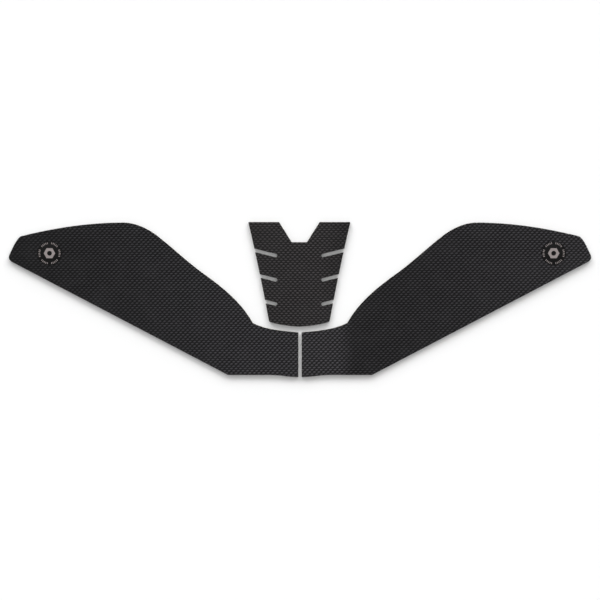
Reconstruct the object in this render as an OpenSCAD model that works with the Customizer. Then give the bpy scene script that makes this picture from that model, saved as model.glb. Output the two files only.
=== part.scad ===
// Three-piece self-adhesive grip pad set: two mirrored side pads that meet at a seam
// on the centre line, and a tapered centre pad that nests above the seam.
// The set lies flat, faces up, with its backs on z = 0. The seam is on x = 0, and y = 0 is
// halfway between the foot of the seam and the top of the centre pad.
// Each pad is a laminate, from the bottom: release liner, adhesive film, grip sheet.

/* [Layers] */
// Thickness of the release liner
liner_t = 0.15; // [0.1:0.05:0.3]
// Thickness of the adhesive film
adhesive_t = 0.25; // [0.15:0.05:0.5]
// Thickness of the grip sheet, up to the crests of its raised grain
sheet_t = 3.6; // [2.6:0.1:5]
// Width of the slit between the two halves of a release liner
liner_slit = 0.4; // [0.2:0.1:1]

/* [Side pads] */
// Length of a side pad along X, from its seam edge to its tip
side_len = 300; // [290:1:330]
// Height of a side pad along Y, from the foot of its seam edge to its crest
side_h = 160.5; // [150:0.5:170]
// Gap between the two side pads at the seam
seam_gap = 3.5; // [2:0.5:6]

/* [Centre pad] */
// Width of the centre pad across its top
centre_w = 106; // [98:0.5:110]
// Width of the centre pad across its foot
centre_foot_w = 62.8; // [58:0.2:66]
// Height of the centre pad
centre_h = 108.6; // [104:0.2:110]
// How far its top stands above the crests of the side pads
centre_rise = 0.5; // [0:0.5:5]
// How far it lies from the seam line, sideways
centre_shift = -0.7; // [-1.5:0.1:1.5]
// Width of the notch at its mouth
notch_mouth_w = 42.2; // [30:0.2:50]
// Width of the notch at its floor
notch_floor_w = 15.8; // [10:0.2:24]
// Depth of the notch
notch_depth = 20.9; // [10:0.2:24]
// Width of a relief slot
slot_w = 3.5; // [2.5:0.1:4.5]
// Distance between neighbouring relief slots
slot_pitch = 25.2; // [23:0.1:27]
// Distance of a relief slot's inner end from the pad's own centre line
slot_end_x = 22.8; // [18:0.2:26]
// Slope of a relief slot, rising outwards
slot_slope = 14; // [5:1:20]

/* [Badges] */
// Diameter of a badge disc
badge_d = 25; // [20:0.5:28]
// Thickness of a badge disc
badge_t = 0.8; // [0.5:0.1:1]
// Thickness of the foil mark on a badge disc
foil_t = 0.1; // [0.05:0.05:0.2]
// Distance of the left badge's centre from the tip of its pad
left_badge_inset = 41.6; // [37:0.1:60]
// Distance of the right badge's centre from the tip of its pad
right_badge_inset = 38.3; // [37:0.1:60]
// Distance of a badge's centre below the crest of its pad
badge_drop = 31.9; // [31:0.1:36]

/* [Hidden] */

// Heights of the layers
adhesive_z = liner_t;
sheet_z = adhesive_z + adhesive_t;
top_z = sheet_z + sheet_t;

// Heights across the set, measured from its middle
foot_y = -(side_h + centre_rise) / 2;
crest_y = foot_y + side_h;
centre_top_y = crest_y + centre_rise;

// Badge positions, and the pocket cut for each badge into the sheet below its grain
left_badge_x = seam_gap / 2 + side_len - left_badge_inset;
right_badge_x = seam_gap / 2 + side_len - right_badge_inset;
badge_y = crest_y - badge_drop;
pocket_depth = 1;
pocket_clearance = 0.1;
badge_z = top_z - pocket_depth;
foil_z = badge_z + badge_t;

// Colours
grip_black = "#2c2c2e";
badge_black = "#17171a";
foil_silver = "#a9a29f";
film_grey = "#c9cdd0";
liner_cream = "#e3d9bd";

// Segments of a curved span, of a rounded corner and of one wave of a liner's slit
span_steps = 12;
corner_steps = 6;
wave_steps = 12;

// Any length that reaches past the whole set
far = 2 * side_len;

// Outline tools. An outline is a list of knots: [point, angle in, angle out, corner radius].
// A knot with both angles equal lies on a smooth stretch. An angle left undef points straight
// at the neighbouring knot, and a span with both its angles undef is one straight edge.
function heading(a) = [cos(a), sin(a)];
function angle_to(p, q) = atan2(q.y - p.y, q.x - p.x);
function shorter_turn(t) = t > 180 ? t - 360 : t < -180 ? t + 360 : t;
function angle_in(knots, i) = is_undef(knots[i][1]) ? angle_to(knots[i - 1][0], knots[i][0]) : knots[i][1];
function angle_out(knots, i) = is_undef(knots[i][2]) ? angle_to(knots[i][0], knots[i + 1][0]) : knots[i][2];

// Points of a cubic curve that leaves p at angle a and reaches q at angle b, without its ends
function span(p, a, q, b) =
    let (reach = norm(q - p) / 3, c = p + reach * heading(a), d = q - reach * heading(b))
    [for (i = [1 : span_steps - 1]) let (t = i / span_steps, s = 1 - t)
        s * s * s * p + 3 * s * s * t * c + 3 * s * t * t * d + t * t * t * q];

// Points of the arc of radius r that rounds the corner at p
function corner(p, a, b, r) =
    let (turn = shorter_turn(b - a), side = sign(turn),
        centre = p - r * tan(abs(turn) / 2) * heading(a) + r * heading(a + 90 * side))
    [for (i = [0 : corner_steps]) centre + r * heading(a - 90 * side + turn * i / corner_steps)];

function knot_points(knots, i) =
    knots[i][3] == 0 ? [knots[i][0]]
    : corner(knots[i][0], angle_in(knots, i), angle_out(knots, i), knots[i][3]);

function is_straight(knots, i) = is_undef(knots[i][2]) && is_undef(knots[i + 1][1]);

// Points of the whole path through the knots, from the first to the last
function path(knots) =
    let (ends = [for (i = [0 : len(knots) - 1]) knot_points(knots, i)])
    [for (i = [0 : len(knots) - 1]) each concat(ends[i],
        i == len(knots) - 1 || is_straight(knots, i) ? []
        : span(ends[i][len(ends[i]) - 1], angle_out(knots, i), ends[i + 1][0], angle_in(knots, i + 1)))];

// Side pad outline, drawn for the right pad, counterclockwise from the foot of its seam edge.
// Points are shares of its length and height.
function side_point(x, y) = [seam_gap / 2 + x * side_len, foot_y + y * side_h];
side_knots = [
    [side_point(0, 0), undef, 0, 0],                 // foot of the seam edge
    [side_point(0.098, 0.0137), 0, undef, 0],        // start of the flat foot
    [side_point(0.2434, 0.0137), undef, undef, 4],   // heel
    [side_point(1.0081, 0.7617), undef, 117, 5.4],   // lower corner of the tip
    [side_point(0.9622, 0.9104), 134.7, 166, 5],     // upper corner of the tip
    [side_point(0.606, 1), 180, 180, 0],             // crest
    [side_point(0.486, 0.911), 218.2, 218.2, 0],     // shoulder
    [side_point(0.325, 0.665), 215.5, 215.5, 0],     // neck
    [side_point(0.158, 0.3505), 241, 206.5, 1.9],    // corner beside the centre pad's foot
    [side_point(0, 0.289), 186, undef, 0],           // top of the seam edge
];
side_points = path(side_knots);

// Centre pad outline, right half, from the middle of its foot to the floor of its notch.
// It is drawn about its own centre line.
centre_foot_y = centre_top_y - centre_h;
foot_rise = 5;
centre_knots = [
    [[0, centre_foot_y], undef, 3, 0],                                   // middle of the foot
    [[centre_foot_w / 2, centre_foot_y + foot_rise], 16, 79.7, 3],       // lower corner
    [[centre_w / 2, centre_top_y], 76.9, undef, 0.5],                    // upper corner
    [[notch_mouth_w / 2, centre_top_y], undef, undef, 0.5],              // mouth of the notch
    [[notch_floor_w / 2, centre_top_y - notch_depth], undef, undef, 0],  // floor of the notch
];
centre_half = path(centre_knots);
centre_points = concat(centre_half,
    [for (i = [len(centre_half) - 1 : -1 : 1]) [-centre_half[i].x, centre_half[i].y]]);

// Relief slots: the height of the lowest slot's inner end
slot_low_y = centre_foot_y + 23;
slot_rows = 3;

// Plan shapes
module side_plan() {
    polygon(side_points);
}

module slot_plan() {
    rotate(slot_slope) {
        translate([slot_w / 2, 0]) circle(d = slot_w, $fn = 32);
        translate([slot_w / 2, -slot_w / 2]) square([centre_w / 2, slot_w]);
    }
}

module centre_plan() {
    translate([centre_shift, 0]) difference() {
        polygon(centre_points);
        for (flip = [0, 1], row = [0 : slot_rows - 1])
            mirror([flip, 0]) translate([slot_end_x, slot_low_y + row * slot_pitch]) slot_plan();
    }
}

// Everything to one side of a wavy slit that runs along Y: keep is 1 for the side towards +X
// and -1 for the other
slit_waves = 5;
module beyond_slit(keep, wave_h, wave_len) {
    reach = slit_waves * wave_len / 2;
    steps = slit_waves * wave_steps;
    polygon(concat(
        [for (i = [0 : steps]) let (y = (2 * i / steps - 1) * reach)
            [keep * liner_slit / 2 + wave_h * sin(360 * y / wave_len), y]],
        [[keep * far, reach], [keep * far, -reach]]));
}

// One layer of a laminate
module layer(z, t) {
    translate([0, 0, z]) linear_extrude(t) children();
}

module on_left() {
    mirror([1, 0, 0]) children();
}

// Side pad pieces, drawn for the right pad. The liner's slit crosses the middle of the pad at a
// right angle to its long edge.
side_slit_middle = side_point(0.52, 0.5);
side_slit_angle = 28;
side_slit_wave_h = 3;
side_slit_wave_len = 60;
module side_liner(keep) {
    color(liner_cream) layer(0, liner_t) intersection() {
        side_plan();
        translate(side_slit_middle) rotate(side_slit_angle)
            beyond_slit(keep, side_slit_wave_h, side_slit_wave_len);
    }
}

module side_film() {
    color(film_grey) layer(adhesive_z, adhesive_t) side_plan();
}

module side_sheet(badge_x) {
    color(grip_black) difference() {
        layer(sheet_z, sheet_t) side_plan();
        translate([badge_x, badge_y, badge_z])
            cylinder(d = badge_d + 2 * pocket_clearance, h = pocket_depth + 1, $fn = 96);
    }
}

// Badge pieces, on the face of a side pad
module badge_disc(x) {
    color(badge_black) translate([x, badge_y, badge_z]) cylinder(d = badge_d, h = badge_t, $fn = 96);
}

// Foil mark: a plain nut-shaped hexagon inside a broken ring of short radial ticks
tick_groups = 6;
ticks_per_group = 5;
tick_step = 9;
tick_w = 0.65;
tick_len = 2;
tick_ring_r = 9.6;
hexagon_r = 6;
hexagon_bore_d = 5;
module foil_plan() {
    difference() {
        circle(r = hexagon_r, $fn = 6);
        circle(d = hexagon_bore_d, $fn = 48);
    }
    for (group = [0 : tick_groups - 1], tick = [0 : ticks_per_group - 1])
        rotate(group * 360 / tick_groups + (tick - (ticks_per_group - 1) / 2) * tick_step)
            translate([tick_ring_r, -tick_w / 2]) square([tick_len, tick_w]);
}

module badge_foil(x) {
    color(foil_silver) translate([x, badge_y, 0]) layer(foil_z, foil_t) foil_plan();
}

// Centre pad pieces. The liner's slit crosses the pad between the two upper rows of slots.
centre_slit_y = slot_low_y + 1.5 * slot_pitch;
centre_slit_wave_h = 2;
centre_slit_wave_len = 40;
module centre_liner(keep) {
    color(liner_cream) layer(0, liner_t) intersection() {
        centre_plan();
        translate([0, centre_slit_y]) rotate(90) beyond_slit(keep, centre_slit_wave_h, centre_slit_wave_len);
    }
}

module centre_film() {
    color(film_grey) layer(adhesive_z, adhesive_t) centre_plan();
}

module centre_sheet() {
    color(grip_black) layer(sheet_z, sheet_t) centre_plan();
}

on_left() side_sheet(left_badge_x);  // left_grip_sheet
on_left() side_film();  // left_adhesive_film
on_left() side_liner(1);  // left_liner_tip_half
on_left() side_liner(-1);  // left_liner_seam_half
badge_disc(-left_badge_x);  // left_badge_disc
badge_foil(-left_badge_x);  // left_badge_foil
side_sheet(right_badge_x);  // right_grip_sheet
side_film();  // right_adhesive_film
side_liner(1);  // right_liner_tip_half
side_liner(-1);  // right_liner_seam_half
badge_disc(right_badge_x);  // right_badge_disc
badge_foil(right_badge_x);  // right_badge_foil
centre_sheet();  // centre_grip_sheet
centre_film();  // centre_adhesive_film
centre_liner(1);  // centre_liner_upper_half
centre_liner(-1);  // centre_liner_lower_half
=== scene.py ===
"""Looks of a three-piece grip pad set: embossed rubber sheets, badges, adhesive films and liners.

Lengths are in metres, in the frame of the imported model: +X along the set, +Y across it, +Z up.
"""
import math
import random
from typing import NamedTuple

import bmesh
import bpy
from mathutils import Matrix, Vector


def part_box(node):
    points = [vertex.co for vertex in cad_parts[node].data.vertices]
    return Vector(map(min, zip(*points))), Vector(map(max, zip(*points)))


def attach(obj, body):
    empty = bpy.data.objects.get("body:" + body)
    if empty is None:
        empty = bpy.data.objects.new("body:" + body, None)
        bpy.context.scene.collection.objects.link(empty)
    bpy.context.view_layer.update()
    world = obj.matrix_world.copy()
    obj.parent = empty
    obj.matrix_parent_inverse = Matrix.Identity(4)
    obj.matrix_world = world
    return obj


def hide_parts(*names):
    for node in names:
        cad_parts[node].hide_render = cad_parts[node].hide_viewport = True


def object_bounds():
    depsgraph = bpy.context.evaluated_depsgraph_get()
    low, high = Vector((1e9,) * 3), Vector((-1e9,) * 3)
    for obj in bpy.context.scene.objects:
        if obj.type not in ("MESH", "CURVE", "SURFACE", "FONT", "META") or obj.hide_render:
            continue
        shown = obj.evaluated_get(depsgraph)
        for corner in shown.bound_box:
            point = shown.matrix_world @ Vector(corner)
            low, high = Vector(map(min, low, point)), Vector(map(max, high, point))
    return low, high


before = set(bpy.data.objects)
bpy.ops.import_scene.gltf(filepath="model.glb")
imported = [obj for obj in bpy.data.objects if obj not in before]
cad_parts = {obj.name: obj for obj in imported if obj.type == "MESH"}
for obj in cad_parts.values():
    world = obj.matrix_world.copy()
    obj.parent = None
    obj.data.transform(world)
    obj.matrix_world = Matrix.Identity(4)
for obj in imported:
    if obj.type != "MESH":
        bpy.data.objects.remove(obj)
cad_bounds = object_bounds()

MM = 0.001

# Grain of the grip sheets: rows of small raised dashes, every other row shifted by half a pitch
GRAIN_HEIGHT = 0.55 * MM
LOWEST_GRAIN = 0.93        # share of that height
SLANT_SPREAD = 2           # how far a grain's slant strays from its pad's, in degrees
CREST_GAP = 0.02 * MM      # kept below the CAD sheet's top face
RING = 12                  # points round a grain, two for each of the six border points round it
GRAIN_RINGS = (            # half length, half width, share of the height, roundness (2 = ellipse)
    (1.95 * MM, 1.10 * MM, 0.00, 1.8),
    (1.46 * MM, 0.88 * MM, 0.55, 2.0),
    (0.88 * MM, 0.58 * MM, 0.92, 2.0),
)


class Pattern(NamedTuple):
    """How the grain lies on one pad."""
    pitch: float        # from one grain to the next along a row
    row_pitch: float    # from one row to the next
    turn: float         # of the rows, in degrees from X
    start: tuple        # one grain's place, along and across the rows, from the set's middle
    slant: float        # of each grain, in degrees from its row


PATTERNS = {
    "left": Pattern(4.768 * MM, 2.352 * MM, 0.26, (-0.02 * MM, -1.01 * MM), 13),
    "right": Pattern(4.782 * MM, 2.354 * MM, 0.32, (0.12 * MM, -0.25 * MM), 13),
    "centre": Pattern(4.756 * MM, 2.345 * MM, 0.56, (-0.09 * MM, -0.48 * MM), 3),
}


class Rubber(NamedTuple):
    """Colour of one pad's sheet, with its painted highlights and painted shade."""
    levels: tuple          # painted highlight on the crests, stronger where more light falls: (place, level) from the -X end, 0, to the +X end, 1
    tint: tuple            # red, green and blue of the crests, as shares of the level
    valley_shade_share: float    # how much of the crests' colour is left at the bottom of the valleys, as painted shade


RUBBERS = {
    "left": Rubber(
        levels=((0, 0.013), (0.55, 0.031), (1, 0.051)),
        tint=(1, 0.965, 1.08),
        valley_shade_share=0.12,
    ),
    "right": Rubber(
        levels=((0, 0.055), (0.13, 0.055), (0.18, 0.022), (0.4, 0.0255), (1, 0.045)),
        tint=(1, 0.955, 1.06),
        valley_shade_share=0.12,
    ),
    "centre": Rubber(
        levels=((0, 0.038), (0.7, 0.046), (1, 0.026)),
        tint=(1, 0.905, 0.94),
        valley_shade_share=0.16,
    ),
}

# Badges: a moulded disc, and a foil mark of a nut inside a broken ring of short radial ticks
BADGE_SIDES = 96
RIM_RISE = 0.06 * MM
NUT_CORNER_RADIUS = 6 * MM
NUT_LAND_RADIUS = 0.8 * NUT_CORNER_RADIUS
NUT_BORE_RADIUS = 2.5 * MM
NUT_SIDES = 72             # points round its outline and its bore
TICK_GROUPS = 6
TICKS_PER_GROUP = 5
TICK_STEP = 9              # in degrees
TICK_INNER_RADIUS = 9.6 * MM
TICK_OUTER_RADIUS = 11.6 * MM
TICK_WIDTH = 0.65 * MM
FOIL_BEVEL = 0.04 * MM

# Camera and floor
LENS = 200                 # in mm, long enough that the sides of the pads hardly show
VIEW_SHARE = 1.0303        # width of the view as a share of the set's length
VIEW_MIDDLE_Y = -0.45 * MM
FLOOR_SIZE = 8             # reaches past every view


# ---------------------------------------------------------------- mesh tools

def new_object(name, mesh):
    obj = bpy.data.objects.new(name, mesh)
    bpy.context.scene.collection.objects.link(obj)
    return obj


def smooth_by_angle(mesh, degrees):
    mesh.shade_smooth()
    mesh.set_sharp_from_angle(angle=math.radians(degrees))


def add_loop(bm, points):
    return [bm.verts.new(p) for p in points]


def join_loops(bm, lower, upper):
    """Quads between two closed loops with the same number of points."""
    n = len(lower)
    for i in range(n):
        j = (i + 1) % n
        bm.faces.new((lower[i], lower[j], upper[j], upper[i]))


def circle_points(radius, z, count, centre):
    turns = [2 * math.pi * i / count for i in range(count)]
    return [(centre.x + radius * math.cos(t), centre.y + radius * math.sin(t), z) for t in turns]


def finished_mesh(bm, name):
    bmesh.ops.recalc_face_normals(bm, faces=bm.faces)
    mesh = bpy.data.meshes.new(name)
    bm.to_mesh(mesh)
    bm.free()
    return mesh


# ---------------------------------------------------------------- grip sheets

def grain_ring(bm, centre, half_length, half_width, z, roundness, slant):
    """Points round a grain, from its +X end, with its long axis turned by slant."""
    turn = Matrix.Rotation(slant, 2)
    points = []
    for i in range(RING):
        c, s = math.cos(2 * math.pi * i / RING), math.sin(2 * math.pi * i / RING)
        along = half_length * math.copysign(abs(c) ** (2 / roundness), c)
        across = half_width * math.copysign(abs(s) ** (2 / roundness), s)
        spot = centre + turn @ Vector((along, across))
        points.append((spot.x, spot.y, z))
    return add_loop(bm, points)


def add_grain(bm, border, centre, valley_z, height, slant):
    """One grain and the valley round it, out to six border points counted from the lower left."""
    rings = [grain_ring(bm, centre, length, width, valley_z + share * height, roundness, slant)
             for length, width, share, roundness in GRAIN_RINGS]
    foot = rings[0]
    for m in range(6):    # border point m faces the foot at 210 + 60 m degrees
        here, there = border[m], border[(m + 1) % 6]
        near, middle, far = (foot[(7 + 2 * m + k) % RING] for k in range(3))
        bm.faces.new((here, middle, near))
        bm.faces.new((here, there, middle))
        bm.faces.new((there, far, middle))
    for lower, upper in zip(rings, rings[1:]):
        join_loops(bm, lower, upper)
    crest = bm.verts.new((centre.x, centre.y, valley_z + height))
    for i in range(RING):
        bm.faces.new((rings[-1][i], rings[-1][(i + 1) % RING], crest))


def steps_past(places, step):
    """Whole numbers of steps that reach two steps past the places on both sides."""
    return range(math.floor(min(places) / step) - 2, math.ceil(max(places) / step) + 3)


def embossed_slab(name, low, high, pattern, seed):
    """A slab with the grain on top, reaching past the box from low to high on every side."""
    rng = random.Random(seed)
    valley_z = high.z - CREST_GAP - GRAIN_HEIGHT
    step, row_step = pattern.pitch / 2, pattern.row_pitch
    turning = Matrix.Rotation(math.radians(pattern.turn), 4, "Z")
    placing = turning @ Matrix.Translation((*pattern.start, 0))
    corners = [placing.inverted() @ Vector((x, y, 0)) for x in (low.x, high.x) for y in (low.y, high.y)]
    cols = steps_past([c.x for c in corners], step)
    rows = steps_past([c.y for c in corners], row_step)
    bm = bmesh.new()
    border = {}

    def border_vert(col, row):
        """Border points lie half a pitch apart along the line below each row."""
        if (col, row) not in border:
            border[col, row] = bm.verts.new((col * step, (row - 0.5) * row_step, valley_z))
        return border[col, row]

    for row in rows:
        for col in cols:
            if (col + row) % 2:
                continue
            below = [border_vert(col + d, row) for d in (-1, 0, 1)]
            above = [border_vert(col + d, row + 1) for d in (1, 0, -1)]
            centre = Vector((col * step, row * row_step))
            height = GRAIN_HEIGHT * rng.uniform(LOWEST_GRAIN, 1)
            slant = math.radians(pattern.slant + rng.uniform(-SLANT_SPREAD, SLANT_SPREAD))
            add_grain(bm, below + above, centre, valley_z, height, slant)

    # Walls from the rim down to below the sheet, and one face to close them
    rim = [e for e in bm.edges if e.is_boundary]
    walls = bmesh.ops.extrude_edge_only(bm, edges=rim)["geom"]
    for v in walls:
        if isinstance(v, bmesh.types.BMVert):
            v.co.z = low.z - MM
    bmesh.ops.edgeloop_fill(bm, edges=[e for e in bm.edges if e.is_boundary])
    bmesh.ops.transform(bm, matrix=placing, verts=bm.verts)
    return finished_mesh(bm, name)


def welded_copy(node):
    """The CAD node's mesh with its split corners joined, so that it is closed."""
    bm = bmesh.new()
    bm.from_mesh(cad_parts[node].data)
    bmesh.ops.remove_doubles(bm, verts=bm.verts, dist=0.001 * MM)
    return finished_mesh(bm, node + "_welded")


def grip_sheet(node, pattern, seed):
    """The CAD sheet with its grain: the embossed slab cut to the sheet's outline and pocket."""
    low, high = (Vector(p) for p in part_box(node))
    piece = new_object(node.replace("grip_sheet", "embossed_sheet"),
                       embossed_slab(node, low, high, pattern, seed))
    cutter = new_object(node + "_cutter", welded_copy(node))
    cut = piece.modifiers.new("outline", "BOOLEAN")
    cut.operation = "INTERSECT"
    cut.solver = "MANIFOLD"
    cut.object = cutter
    evaluated = piece.evaluated_get(bpy.context.evaluated_depsgraph_get())
    mesh = bpy.data.meshes.new_from_object(evaluated)
    piece.modifiers.clear()
    piece.data = mesh
    bpy.data.objects.remove(cutter)
    smooth_by_angle(mesh, 50)
    return piece


# ---------------------------------------------------------------- badges

def badge_disc(node):
    """A disc with a rounded, slightly raised rim and a fine groove inside it."""
    low, high = (Vector(p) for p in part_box(node))
    centre = (low + high) / 2
    radius = (high.x - low.x) / 2
    rim_top = high.z + RIM_RISE
    profile = [    # distance from the edge, height
        (0.35 * MM, low.z), (0.0, low.z + 0.15 * MM), (0.0, high.z - 0.1 * MM),
        (0.10 * MM, high.z + 0.02 * MM), (0.28 * MM, rim_top), (0.50 * MM, rim_top),
        (0.66 * MM, high.z), (0.74 * MM, high.z - 0.08 * MM), (0.90 * MM, high.z),
    ]
    bm = bmesh.new()
    loops = [add_loop(bm, circle_points(radius - inset, z, BADGE_SIDES, centre)) for inset, z in profile]
    for lower, upper in zip(loops, loops[1:]):
        join_loops(bm, lower, upper)
    bm.faces.new(reversed(loops[0]))
    bm.faces.new(loops[-1])
    mesh = finished_mesh(bm, node + "_moulded")
    smooth_by_angle(mesh, 40)
    return new_object(node.replace("disc", "moulded_disc"), mesh)


def hexagon_radius(t, corner_radius):
    """Distance from a hexagon's centre to its outline, in direction t, with a corner on +X."""
    from_flat = (t % (math.pi / 3)) - math.pi / 6
    return corner_radius * math.cos(math.pi / 6) / math.cos(from_flat)


def add_nut_mark(bm, centre, z, top):
    """A hexagon with a round bore and a raised round land, as a nut seen end on."""
    def hexagon(inset, height):
        points = []
        for i in range(NUT_SIDES):
            t = 2 * math.pi * i / NUT_SIDES
            r = hexagon_radius(t, NUT_CORNER_RADIUS) - inset
            points.append((centre.x + r * math.cos(t), centre.y + r * math.sin(t), height))
        return add_loop(bm, points)

    def circle(radius, height):
        return add_loop(bm, circle_points(radius, height, NUT_SIDES, centre))

    loops = [
        hexagon(0, z),
        hexagon(0, top - 2 * FOIL_BEVEL),
        hexagon(FOIL_BEVEL, top - FOIL_BEVEL),
        circle(NUT_LAND_RADIUS, top - FOIL_BEVEL),
        circle(NUT_LAND_RADIUS - FOIL_BEVEL, top),
        circle(NUT_BORE_RADIUS + FOIL_BEVEL, top),
        circle(NUT_BORE_RADIUS, top - FOIL_BEVEL),
        circle(NUT_BORE_RADIUS, z),
    ]
    for lower, upper in zip(loops, loops[1:] + loops[:1]):
        join_loops(bm, lower, upper)


def add_tick(bm, centre, turn, z, top):
    """A short radial bar with rounded ends and a bevelled top."""
    end_radius = TICK_WIDTH / 2
    end_steps = 8
    ends = (    # radius of its middle, and where its arc starts, in half turns from the bar's axis
        (TICK_OUTER_RADIUS - end_radius, -0.5),
        (TICK_INNER_RADIUS + end_radius, 0.5),
    )
    rotation = Matrix.Rotation(turn, 2)

    def bar(inset, height):
        r = end_radius - inset
        points = []
        for middle, start in ends:
            for i in range(end_steps + 1):
                t = math.pi * (start + i / end_steps)
                x, y = rotation @ Vector((middle + r * math.cos(t), r * math.sin(t)))
                points.append((centre.x + x, centre.y + y, height))
        return add_loop(bm, points)

    loops = [bar(0, z), bar(0, top - FOIL_BEVEL), bar(FOIL_BEVEL, top)]
    for lower, upper in zip(loops, loops[1:]):
        join_loops(bm, lower, upper)
    bm.faces.new(reversed(loops[0]))
    bm.faces.new(loops[-1])


def badge_foil(node):
    """The generic mark: a nut inside six groups of short radial ticks."""
    low, high = (Vector(p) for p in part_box(node))
    disc_low, disc_high = (Vector(p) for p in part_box(node.replace("foil", "disc")))
    centre = (disc_low + disc_high) / 2
    bm = bmesh.new()
    add_nut_mark(bm, centre, low.z, high.z)
    for group in range(TICK_GROUPS):
        for tick in range(TICKS_PER_GROUP):
            from_middle = tick - (TICKS_PER_GROUP - 1) / 2
            turn = math.radians(360 * group / TICK_GROUPS + TICK_STEP * from_middle)
            add_tick(bm, centre, turn, low.z, high.z)
    mesh = finished_mesh(bm, node + "_stamped")
    smooth_by_angle(mesh, 40)
    return new_object(node.replace("foil", "stamped_foil"), mesh)


# ---------------------------------------------------------------- materials

class Nodes:
    """A material's node tree, with a Principled BSDF and object coordinates to start from."""

    def __init__(self, name):
        self.material = bpy.data.materials.new(name)
        self.material.use_nodes = True
        self.tree = self.material.node_tree
        self.bsdf = self.tree.nodes["Principled BSDF"]
        self.object_coordinates = self.add("ShaderNodeTexCoord").outputs["Object"]

    def add(self, kind, **settings):
        node = self.tree.nodes.new(kind)
        for key, value in settings.items():
            setattr(node, key, value)
        return node

    def link(self, output, socket):
        self.tree.links.new(output, socket)

    def set(self, **values):
        for key, value in values.items():
            self.bsdf.inputs[key.replace("_", " ")].default_value = value

    def noise(self, scale, detail=2.0, stretch=(1, 1, 1), roughness=0.5):
        """Noise whose features are about 1 / scale metres across."""
        mapping = self.add("ShaderNodeMapping")
        mapping.inputs["Scale"].default_value = stretch
        self.link(self.object_coordinates, mapping.inputs["Vector"])
        texture = self.add("ShaderNodeTexNoise")
        texture.inputs["Scale"].default_value = scale
        texture.inputs["Detail"].default_value = detail
        texture.inputs["Roughness"].default_value = roughness
        self.link(mapping.outputs["Vector"], texture.inputs["Vector"])
        return texture.outputs["Fac"]

    def ramp(self, value, low, high, low_to, high_to):
        """value from low..high mapped to low_to..high_to."""
        node = self.add("ShaderNodeMapRange")
        ends = {"From Min": low, "From Max": high, "To Min": low_to, "To Max": high_to}
        for key, number in ends.items():
            node.inputs[key].default_value = number
        self.link(value, node.inputs["Value"])
        return node.outputs["Result"]

    def blend(self, factor, first, second, mode="MIX"):
        """first, a colour or a socket, mixed with the colour second by factor."""
        node = self.add("ShaderNodeMix", data_type="RGBA", blend_type=mode)
        node.inputs["A"].default_value = (*first, 1) if isinstance(first, tuple) else (0, 0, 0, 1)
        node.inputs["B"].default_value = (*second, 1)
        if not isinstance(first, tuple):
            self.link(first, node.inputs["A"])
        self.link(factor, node.inputs["Factor"])
        return node.outputs["Result"]

    def colour_ramp(self, value, stops):
        """Colours from stops of (place, colour), where the first place is 0 and the last is 1."""
        node = self.add("ShaderNodeValToRGB")
        elements = node.color_ramp.elements
        elements[0].color = (*stops[0][1], 1)
        elements[-1].color = (*stops[-1][1], 1)
        for place, colour in stops[1:-1]:
            elements.new(place).color = (*colour, 1)
        self.link(value, node.inputs["Fac"])
        return node.outputs["Color"]

    def bump(self, height, distance, strength=1.0, normal=None):
        node = self.add("ShaderNodeBump")
        node.inputs["Distance"].default_value = distance
        node.inputs["Strength"].default_value = strength
        self.link(height, node.inputs["Height"])
        if normal is not None:
            self.link(normal, node.inputs["Normal"])
        return node.outputs["Normal"]


def grip_rubber(name, look, low, high):
    """Matt black rubber with painted highlights on its crests, stronger in some places along X, and
    painted shade in its valleys.

    low and high are the corners of the sheet's box.
    """
    m = Nodes(name)
    m.set(Metallic=0.0, IOR=1.5, Specular_IOR_Level=0.15)
    split = m.add("ShaderNodeSeparateXYZ")
    m.link(m.object_coordinates, split.inputs["Vector"])
    # Painted highlight: the crests paler than the rubber, and paler or darker along X as more or less
    # light falls there
    crests = [(place, tuple(level * part for part in look.tint)) for place, level in look.levels]
    colour = m.colour_ramp(m.ramp(split.outputs["X"], low.x, high.x, 0.0, 1.0), crests)
    valley_z = high.z - CREST_GAP - GRAIN_HEIGHT
    # Painted shade: the crests' colour darkened towards the bottom of the valleys
    painted_valley_shade = m.ramp(split.outputs["Z"], valley_z, high.z, 1.0, 0.0)
    colour = m.blend(painted_valley_shade, colour, (look.valley_shade_share,) * 3, mode="MULTIPLY")
    # Plain colour of the cut edges, from just below the valleys
    below = m.ramp(split.outputs["Z"], valley_z - 0.5 * MM, valley_z - 0.1 * MM, 1.0, 0.0)
    colour = m.blend(below, colour, (0.020, 0.0195, 0.0205))
    dust = m.ramp(m.noise(45, 3), 0.45, 0.8, 0.0, 0.15)
    colour = m.blend(dust, colour, (0.040, 0.039, 0.042))
    m.link(colour, m.bsdf.inputs["Base Color"])
    m.link(m.ramp(m.noise(260, 2), 0.3, 0.7, 0.46, 0.62), m.bsdf.inputs["Roughness"])
    pebble = m.bump(m.noise(3200, 3), 0.03 * MM, 0.6)
    m.link(m.bump(m.noise(700, 2), 0.05 * MM, 0.5, pebble), m.bsdf.inputs["Normal"])
    return m.material


def badge_plastic(name):
    """Black moulded plastic with a satin, faintly rippled face."""
    m = Nodes(name)
    m.set(Metallic=0.0, IOR=1.5, Specular_IOR_Level=0.12)
    colour = m.blend(m.noise(350, 2), (0.0025, 0.0025, 0.0025), (0.0045, 0.0042, 0.0042))
    m.link(colour, m.bsdf.inputs["Base Color"])
    m.link(m.ramp(m.noise(900, 2), 0.3, 0.7, 0.34, 0.46), m.bsdf.inputs["Roughness"])
    m.link(m.bump(m.noise(1500, 1), 0.01 * MM, 0.5), m.bsdf.inputs["Normal"])
    return m.material


def stamped_foil(name):
    """Warm grey metal foil, brushed along X and a little worn."""
    m = Nodes(name)
    m.set(Metallic=0.7, Roughness=0.42)
    brushed = m.noise(900, 2, stretch=(0.12, 1.6, 1))
    m.link(m.blend(brushed, (0.24, 0.205, 0.200), (0.43, 0.385, 0.380)), m.bsdf.inputs["Base Color"])
    m.link(m.bump(brushed, 0.01 * MM, 0.4), m.bsdf.inputs["Normal"])
    return m.material


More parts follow.
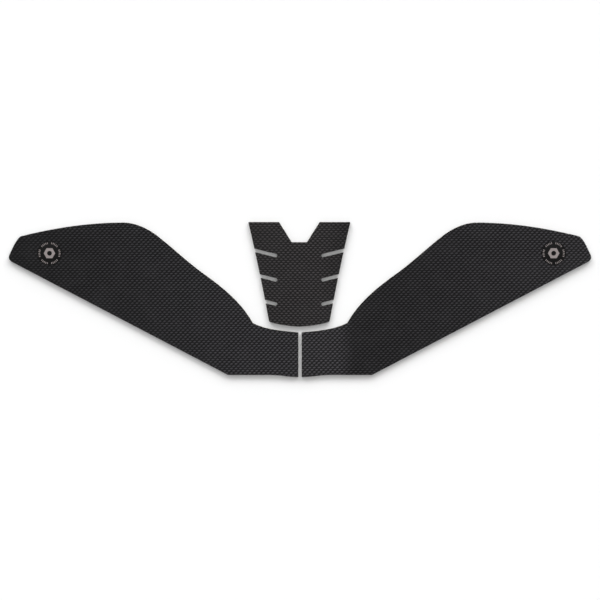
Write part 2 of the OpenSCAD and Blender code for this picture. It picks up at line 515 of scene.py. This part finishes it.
def liner_paper(name):
    """Siliconised kraft paper: long pale fibres and a soft sheen."""
    m = Nodes(name)
    m.set(Metallic=0.0, IOR=1.45, Specular_IOR_Level=0.5)
    fibres = m.noise(420, 4, stretch=(0.25, 1.8, 1), roughness=0.65)
    clouds = m.ramp(m.noise(28, 3), 0.35, 0.7, 0.0, 0.4)
    colour = m.blend(m.ramp(fibres, 0.3, 0.7, 0, 1), (0.70, 0.61, 0.43), (0.82, 0.75, 0.58))
    m.link(m.blend(clouds, colour, (0.85, 0.80, 0.66)), m.bsdf.inputs["Base Color"])
    m.link(m.ramp(fibres, 0.3, 0.7, 0.34, 0.5), m.bsdf.inputs["Roughness"])
    m.link(m.bump(fibres, 0.02 * MM, 0.4), m.bsdf.inputs["Normal"])
    return m.material


def adhesive_film(name):
    """Clear tacky film: glossy, with fine ripples and a faint haze."""
    m = Nodes(name)
    m.set(Metallic=0.0, IOR=1.47, Specular_IOR_Level=0.5, Alpha=0.45)
    haze = m.ramp(m.noise(60, 3), 0.35, 0.7, 0.0, 1.0)
    m.link(m.blend(haze, (0.30, 0.31, 0.32), (0.52, 0.54, 0.55)), m.bsdf.inputs["Base Color"])
    m.link(m.ramp(m.noise(300, 2), 0.3, 0.7, 0.08, 0.2), m.bsdf.inputs["Roughness"])
    m.link(m.bump(m.noise(500, 3), 0.04 * MM, 0.5), m.bsdf.inputs["Normal"])
    return m.material


def paint(obj, material):
    """Gives the object one material. Its slots hold it, and a mesh without a slot gets one first."""
    if not obj.data.materials:
        obj.data.materials.append(material)
    for slot in obj.material_slots:
        slot.link = "OBJECT"
        slot.material = material


# ---------------------------------------------------------------- camera, floor and light

def photo_camera(set_length, top_z):
    """Straight down, with +Y up: a long lens, far away."""
    data = bpy.data.cameras.new("camera")
    data.lens = LENS
    view_width = VIEW_SHARE * set_length
    camera = bpy.data.objects.new("camera", data)
    distance = view_width / data.sensor_width * data.lens
    camera.location = (0, VIEW_MIDDLE_Y, top_z + distance)
    bpy.context.scene.collection.objects.link(camera)
    bpy.context.scene.camera = camera


def floor(size):
    """A plain white table top."""
    bm = bmesh.new()
    half = size / 2
    bm.faces.new(add_loop(bm, [(-half, -half, 0), (half, -half, 0), (half, half, 0), (-half, half, 0)]))
    obj = new_object("floor", finished_mesh(bm, "floor"))
    m = Nodes("floor_white")
    m.set(Roughness=0.9, Specular_IOR_Level=0.1)
    m.link(m.blend(m.noise(3, 2), (0.90, 0.90, 0.90), (0.91, 0.91, 0.91)), m.bsdf.inputs["Base Color"])
    paint(obj, m.material)


def studio_light(fill, key, key_elevation, key_azimuth, key_focus,
                 ring, ring_elevation, ring_width):
    """A white studio: two softboxes, to the left and right of +Y, with a ring overhead and even fill.

    fill, key and ring are the strengths of the even light, the softboxes and the ring.
    """
    world = bpy.data.worlds.new("studio")
    world.use_nodes = True
    bpy.context.scene.world = world
    tree = world.node_tree
    background = tree.nodes["Background"]
    background.inputs["Color"].default_value = (1, 1, 1, 1)

    def math_node(operation, *inputs):
        node = tree.nodes.new("ShaderNodeMath")
        node.operation = operation
        for socket, value in zip(node.inputs, inputs):
            if isinstance(value, bpy.types.NodeSocket):
                tree.links.new(value, socket)
            else:
                socket.default_value = value
        return node.outputs["Value"]

    split = tree.nodes.new("ShaderNodeSeparateXYZ")
    tree.links.new(tree.nodes.new("ShaderNodeTexCoord").outputs["Generated"], split.inputs["Vector"])

    # towards is 1 at the middle of a softbox, and X without its sign makes two softboxes of one
    flat = math.cos(key_elevation)
    sideways = math_node("ABSOLUTE", split.outputs["X"])
    towards = math_node("MULTIPLY", sideways, flat * math.sin(key_azimuth))
    towards = math_node("MULTIPLY_ADD", split.outputs["Y"], flat * math.cos(key_azimuth), towards)
    towards = math_node("MULTIPLY_ADD", split.outputs["Z"], math.sin(key_elevation), towards)
    softboxes = math_node("POWER", math_node("MAXIMUM", towards, 0), key_focus)

    # The ring fades on both sides of its elevation, as a bell curve
    from_ring = math_node("SUBTRACT", math_node("ARCSINE", split.outputs["Z"]), ring_elevation)
    falloff = math_node("POWER", math_node("ABSOLUTE", math_node("DIVIDE", from_ring, ring_width)), 2)
    overhead = math_node("EXPONENT", math_node("MULTIPLY", falloff, -1))

    strength = math_node("MULTIPLY_ADD", softboxes, key, fill)
    strength = math_node("MULTIPLY_ADD", overhead, ring, strength)
    tree.links.new(strength, background.inputs["Strength"])


# ---------------------------------------------------------------- the scene

set_low, set_high = (Vector(p) for p in cad_bounds)
photo_camera(set_high.x - set_low.x, set_high.z)
floor(FLOOR_SIZE)
studio_light(
    fill=0.372,
    key=9.85,
    key_elevation=math.radians(24),
    key_azimuth=math.radians(26),
    key_focus=25,
    ring=1.23,
    ring_elevation=math.radians(66),
    ring_width=math.radians(6),
)
bpy.context.scene.view_settings.view_transform = "Standard"

badge_black = badge_plastic("badge_black")
foil = stamped_foil("badge_foil")
paper = liner_paper("liner_paper")
adhesive = adhesive_film("adhesive")

for seed, (pad, pattern) in enumerate(PATTERNS.items()):
    node = pad + "_grip_sheet"
    sheet = grip_sheet(node, pattern, seed)
    low, high = (Vector(p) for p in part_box(node))
    paint(sheet, grip_rubber(pad + "_rubber", RUBBERS[pad], low, high))
    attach(sheet, pad + "_pad")
    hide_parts(node)

for side in ("left", "right"):
    disc = badge_disc(side + "_badge_disc")
    paint(disc, badge_black)
    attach(disc, side + "_pad")
    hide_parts(side + "_badge_disc")
    mark = badge_foil(side + "_badge_foil")
    paint(mark, foil)
    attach(mark, side + "_pad")
    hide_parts(side + "_badge_foil")

for name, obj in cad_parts.items():
    if "liner" in name:
        paint(obj, paper)
    elif "adhesive" in name:
        paint(obj, adhesive)
